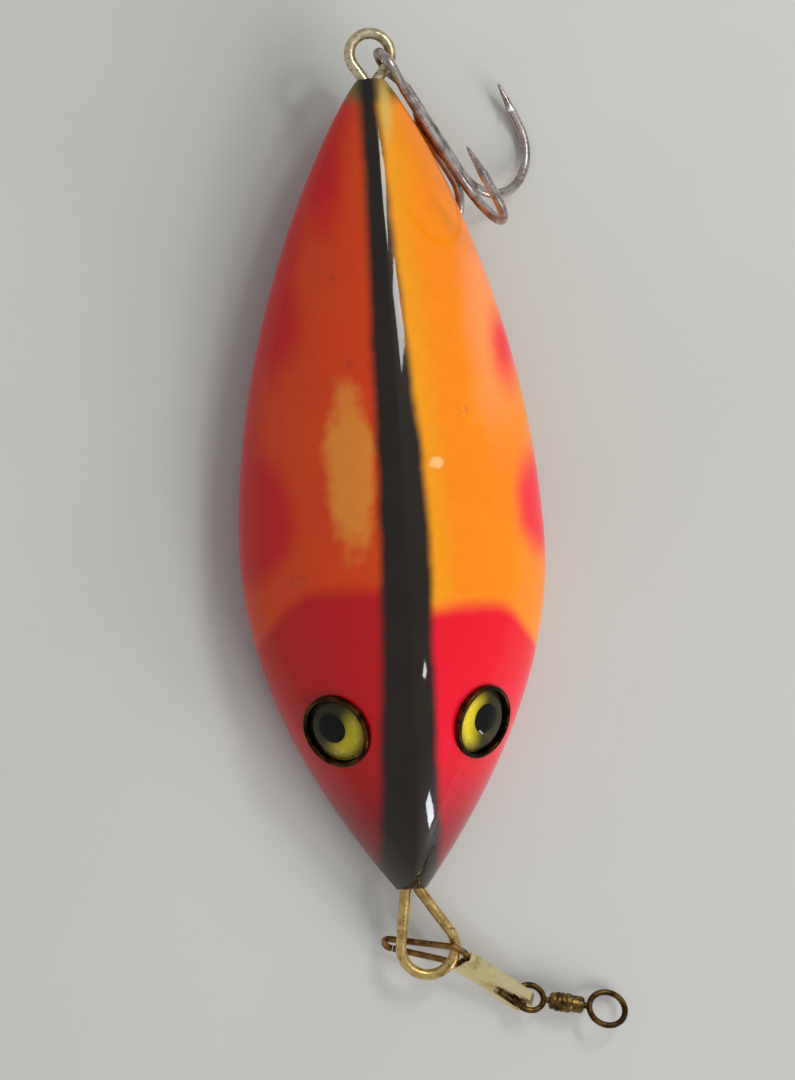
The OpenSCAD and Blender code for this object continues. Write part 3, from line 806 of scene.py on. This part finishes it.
# Distance from the point, share of the wire's radius, and height of the barb.
CUTS = [
    (2.98, 1, 0), (2.9, 1, 0.1), (2.85, 0.95, 0.42), (2.6, 0.86, 0.26),
    (2.2, 0.76, 0.04), (1.7, 0.68, 0), (1.2, 0.58, 0), (0.8, 0.46, 0),
    (0.5, 0.35, 0), (0.28, 0.23, 0), (0.12, 0.12, 0), (0.02, 0.04, 0),
]
straight = [np.array([x, BUNDLE]) for x in np.linspace(SHANK_FROM, SHANK_TO, 14)[:-1]]
hook = straight + bend + [bend[-1] + leg_along * (POINT - c[0]) for c in CUTS]
hook_r = [WIRE] * (len(hook) - len(CUTS)) + [WIRE * c[1] for c in CUTS]
hook_b = [0.0] * (len(hook) - len(CUTS)) + [c[2] for c in CUTS]


def rolled(path, roll):
    r = math.radians(roll)
    return [np.array([p[0], p[1] * math.cos(r), p[1] * math.sin(r)]) for p in path]


def roll_normal(roll):
    r = math.radians(roll)
    return np.array([0, -math.sin(r), math.cos(r)])


eye_from = math.acos(HOOK_EYE / math.hypot(SHANK_FROM, BUNDLE)) + math.atan(BUNDLE / SHANK_FROM)
eye_circle = ring_points((0, 0), HOOK_EYE, eye_from, 2 * math.pi - 2 * eye_from, 70)
eye_ring = [np.array([p[0], 0, p[1]]) for p in eye_circle]
path = rolled(hook, ROLL_UP)[::-1] + eye_ring + rolled(hook, ROLL_RIGHT)
normals = (
    [-roll_normal(ROLL_UP)] * len(hook) + [np.array([0, 1.0, 0])] * len(eye_ring)
    + [roll_normal(ROLL_RIGHT)] * len(hook)
)
pair_r = hook_r[::-1] + [WIRE] * len(eye_ring) + hook_r
pair_b = hook_b[::-1] + [0] * len(eye_ring) + hook_b
v, f = tube(path, pair_r, normals, pair_b, 20)
add("treble_pair", in_treble(v), f, STEEL, "treble", ["treble_double_hook"])
keep = [i for i, p in enumerate(hook) if p[0] >= SHANK_FROM + THIRD_DROP or i > 14]
third = rolled(hook, ROLL_THIRD)
v, f = tube(
    [third[i] for i in keep], [hook_r[i] for i in keep], roll_normal(ROLL_THIRD),
    [hook_b[i] for i in keep], 20,
)
add("treble_third", in_treble(v), f, STEEL, "treble", ["treble_single_hook"])
v, f = turned(rounded_profile([
    (0, 4.4), (0.3, 4.5), (0.62, 5.4), (0.66, 7.5), (0.6, 9.4), (0.3, 10.4), (0, 10.6),
], 0.5))
add("treble_braze", in_treble(v), f, BRAZE, "treble")

# ---------------------------------------------------------------- CAD nodes that stay
for node, material in (("snap_lock_plate", PLATE), ("keel_weight", BALLAST)):
    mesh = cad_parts[node].data
    mesh.materials.clear()
    mesh.materials.append(material)

# ---------------------------------------------------------------- stage, lights and camera
def floor_material():
    m = Nodes("floor_grey")
    color = m.mix(m.ramp(m.noise(14, 3), 0.3, 0.7), rgb(196, 194, 188), rgb(202, 200, 195))
    color = m.mix(m.math("MULTIPLY", m.noise(700, 4), 0.06), color, rgb(170, 168, 162))
    m.principled(Base_Color=color, Roughness=0.55, Normal=m.bump(m.noise(900, 3), 0.08, 0.00005))
    return m.material


mesh = bpy.data.meshes.new("floor")
w = 1.5
mesh.from_pydata([(-w, -w, 0), (w, -w, 0), (w, w, 0), (-w, w, 0)], [], [(0, 1, 2, 3)])
mesh.materials.append(floor_material())
floor = bpy.data.objects.new("floor", mesh)
bpy.context.scene.collection.objects.link(floor)


def at(x, y, z):
    return Vector(((np.array([x, y, z]) + OFFSET) / 1000).tolist())


def area(name, place, target, size, energy, color=(1, 1, 1)):
    light = bpy.data.lights.new(name, "AREA")
    light.shape = "RECTANGLE"
    light.size, light.size_y = size
    light.energy = energy
    light.color = color
    obj = bpy.data.objects.new(name, light)
    obj.location = at(*place)
    obj.rotation_euler = (at(*target) - at(*place)).to_track_quat("-Z", "Y").to_euler()
    bpy.context.scene.collection.objects.link(obj)
    return obj


# The key is broad and kept out of reflections; the small lights make the highlights.
key = area("key", (620, -600, 560), (0, 35, 5), (0.75, 0.75), 7.6, (1.0, 0.98, 0.95))
key.visible_glossy = False
area("strip_low", (160, 130, 250), (0, 50, 12), (0.045, 0.04), 0.09)
area("strip_high", (128, 205, 250), (0, 62, 12), (0.045, 0.075), 0.17, (0.9, 1.0, 0.94))
area("nose", (320, -290, 80), (1, 7, 10), (0.03, 0.12), 0.28, (0.9, 0.94, 1.0))
area("glint", (360, -150, 420), (0, 15, 10), (0.03, 0.03), 0.07)

world = bpy.data.worlds.new("studio")
world.use_nodes = True
world.node_tree.nodes["Background"].inputs[0].default_value = (0.86, 0.9, 0.95, 1)
world.node_tree.nodes["Background"].inputs[1].default_value = 0.48
bpy.context.scene.world = world
bpy.context.scene.view_settings.view_transform = "Standard"
bpy.context.scene.view_settings.look = "None"

camera = bpy.data.cameras.new("camera")
camera.sensor_fit = "VERTICAL"
camera.angle_y = 2 * math.atan(48.6 / 240)
camera.clip_start, camera.clip_end = 0.01, 10
camera_object = bpy.data.objects.new("camera", camera)
target = np.array([0.17, 31.8, 7.0])
look = np.array([-math.sin(math.radians(6.5)), 0, math.cos(math.radians(6.5))])
eye_at = target + 240 * look
z_axis = Vector(look.tolist())
y_axis = Vector((0.059, 0.998, 0))
x_axis = y_axis.cross(z_axis).normalized()
y_axis = z_axis.cross(x_axis)
pose = Matrix((x_axis, y_axis, z_axis)).transposed().to_4x4()
pose.translation = at(*eye_at)
camera_object.matrix_world = pose
bpy.context.scene.collection.objects.link(camera_object)
bpy.context.scene.camera = camera_object
